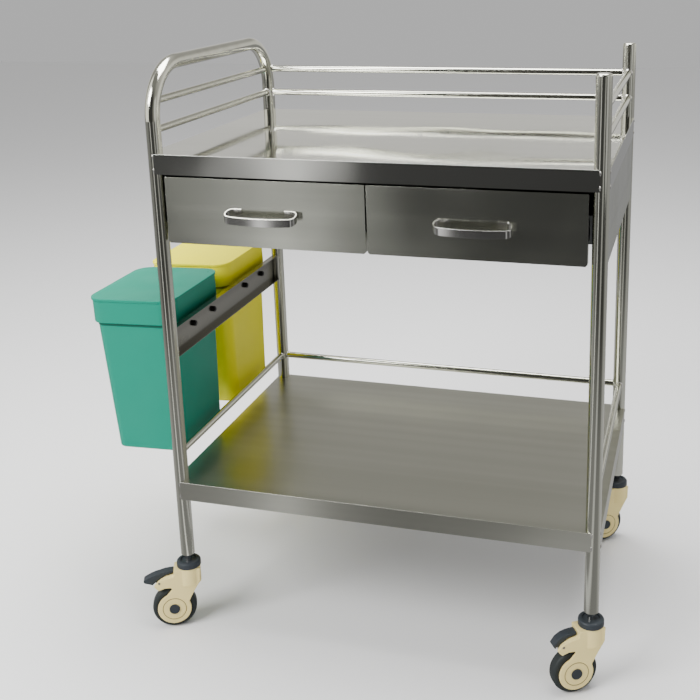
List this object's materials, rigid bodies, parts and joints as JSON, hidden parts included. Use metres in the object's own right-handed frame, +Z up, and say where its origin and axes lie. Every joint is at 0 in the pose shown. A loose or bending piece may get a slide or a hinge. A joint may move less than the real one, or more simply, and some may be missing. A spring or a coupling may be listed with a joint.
{
  "type": "medication cart",
  "caption": "Two-tier steel ward trolley with drawers, a guard rail, a push bar, hung waste bins and braked swivel castors.",
  "frame": {"origin": "on the floor under the centre of the bounding box", "axes": "+X to the cart's right seen from the drawers, drawers open towards -Y, +Z up"},
  "size_m": [0.955, 0.5576, 1.051],
  "materials": {
    "brushed_sheet": "brushed stainless sheet",
    "polished_tube": "polished stainless tube",
    "bright_steel": "bright plated steel",
    "zinc_steel": "zinc plated",
    "green_plastic": "moulded, satin",
    "yellow_plastic": "moulded, satin",
    "cream_plastic": "moulded nylon",
    "dark_plastic": "moulded",
    "tread": "elastic tread"
  },
  "bodies": {
    "root": {"handle_frame": "polished_tube", "right_front_post": "polished_tube", "right_rear_post": "polished_tube", "post_caps": "polished_tube", "left_guard_rails": "polished_tube", "rear_guard_rails": "polished_tube", "right_guard_rails": "polished_tube", "shelf_rails": "polished_tube", "top_tray": "brushed_sheet", "lower_shelf": "brushed_sheet", "left_case_panel": "brushed_sheet", "right_case_panel": "brushed_sheet", "rear_case_panel": "brushed_sheet", "case_divider": "brushed_sheet", "slide_mounts": "brushed_sheet", "slide_outer_rails": "zinc_steel", "bin_bar": "brushed_sheet", "bin_bolts": "bright_steel", "green_bin": "green_plastic", "yellow_bin": "yellow_plastic", "castor_stems": "bright_steel"},
    "left_drawer": {"left_drawer_box": "brushed_sheet", "left_drawer_front": "brushed_sheet", "left_drawer_pull": "bright_steel", "left_pull_screws": "bright_steel", "left_slide_inners": "zinc_steel"},
    "left_slide_middle": {"left_slide_middles": "zinc_steel"},
    "right_drawer": {"right_drawer_box": "brushed_sheet", "right_drawer_front": "brushed_sheet", "right_drawer_pull": "bright_steel", "right_pull_screws": "bright_steel", "right_slide_inners": "zinc_steel"},
    "right_slide_middle": {"right_slide_middles": "zinc_steel"},
    "green_lid": {"green_lid": "green_plastic"},
    "yellow_lid": {"yellow_lid": "yellow_plastic"},
    "left_front_castor": {"left_front_fork": "cream_plastic", "left_front_collar": "dark_plastic", "left_front_axle": "dark_plastic", "left_front_pedal_pin": "bright_steel"},
    "left_front_roller": {"left_front_wheel": "cream_plastic", "left_front_tyre": "tread"},
    "left_front_brake": {"left_front_pedal": "dark_plastic"},
    "right_front_castor": {"right_front_fork": "cream_plastic", "right_front_collar": "dark_plastic", "right_front_axle": "dark_plastic", "right_front_pedal_pin": "bright_steel"},
    "right_front_roller": {"right_front_wheel": "cream_plastic", "right_front_tyre": "tread"},
    "right_front_brake": {"right_front_pedal": "dark_plastic"},
    "left_rear_castor": {"left_rear_fork": "cream_plastic", "left_rear_collar": "dark_plastic", "left_rear_axle": "dark_plastic"},
    "left_rear_roller": {"left_rear_wheel": "cream_plastic", "left_rear_tyre": "tread"},
    "right_rear_castor": {"right_rear_fork": "cream_plastic", "right_rear_collar": "dark_plastic", "right_rear_axle": "dark_plastic"},
    "right_rear_roller": {"right_rear_wheel": "cream_plastic", "right_rear_tyre": "tread"}
  },
  "joints": [
    {"name": "left_drawer_slide", "type": "slide", "parent": "root", "child": "left_drawer", "axis": [0, -1, 0], "range_m": [0, 0.38]},
    {"name": "left_slide_middle_slide", "type": "slide", "parent": "root", "child": "left_slide_middle", "axis": [0, -1, 0], "range_m": [0, 0.19]},
    {"name": "right_drawer_slide", "type": "slide", "parent": "root", "child": "right_drawer", "axis": [0, -1, 0], "range_m": [0, 0.38]},
    {"name": "right_slide_middle_slide", "type": "slide", "parent": "root", "child": "right_slide_middle", "axis": [0, -1, 0], "range_m": [0, 0.19]},
    {"name": "green_lid_lift", "type": "slide", "parent": "root", "child": "green_lid", "axis": [-0.0355, 0, 0.9994], "range_m": [0, 0.06]},
    {"name": "yellow_lid_lift", "type": "slide", "parent": "root", "child": "yellow_lid", "axis": [-0.0355, 0, 0.9994], "range_m": [0, 0.06]},
    {"name": "left_front_swivel", "type": "hinge", "parent": "root", "child": "left_front_castor", "pos_m": [-0.28701, -0.2326, 0.0855], "axis": [0, 0, 1], "continuous": true},
    {"name": "left_front_roll", "type": "hinge", "parent": "left_front_castor", "child": "left_front_roller", "pos_m": [-0.3151, -0.2457, 0.04], "axis": [0.4226, -0.9063, 0], "continuous": true},
    {"name": "left_front_brake_press", "type": "hinge", "parent": "left_front_castor", "child": "left_front_brake", "pos_m": [-0.33685, -0.25584, 0.0955], "axis": [0.4226, -0.9063, 0], "range_deg": [0, 12]},
    {"name": "right_front_swivel", "type": "hinge", "parent": "root", "child": "right_front_castor", "pos_m": [0.45199, -0.2326, 0.0855], "axis": [0, 0, 1], "continuous": true},
    {"name": "right_front_roll", "type": "hinge", "parent": "right_front_castor", "child": "right_front_roller", "pos_m": [0.42542, -0.24856, 0.04], "axis": [0.515, -0.8572, 0], "continuous": true},
    {"name": "right_front_brake_press", "type": "hinge", "parent": "right_front_castor", "child": "right_front_brake", "pos_m": [0.40485, -0.26092, 0.0955], "axis": [0.515, -0.8572, 0], "range_deg": [0, 12]},
    {"name": "left_rear_swivel", "type": "hinge", "parent": "root", "child": "left_rear_castor", "pos_m": [-0.28701, 0.2534, 0.0855], "axis": [0, 0, 1], "continuous": true},
    {"name": "left_rear_roll", "type": "hinge", "parent": "left_rear_castor", "child": "left_rear_roller", "pos_m": [-0.3124, 0.23562, 0.04], "axis": [0.5736, -0.8192, 0], "continuous": true},
    {"name": "right_rear_swivel", "type": "hinge", "parent": "root", "child": "right_rear_castor", "pos_m": [0.45199, 0.2534, 0.0855], "axis": [0, 0, 1], "continuous": true},
    {"name": "right_rear_roll", "type": "hinge", "parent": "right_rear_castor", "child": "right_rear_roller", "pos_m": [0.4266, 0.23562, 0.04], "axis": [0.5736, -0.8192, 0], "continuous": true}
  ],
  "couplings": [
    {"joint": "left_slide_middle_slide", "follows": "left_drawer_slide", "ratio": 0.5},
    {"joint": "right_slide_middle_slide", "follows": "right_drawer_slide", "ratio": 0.5}
  ]
}
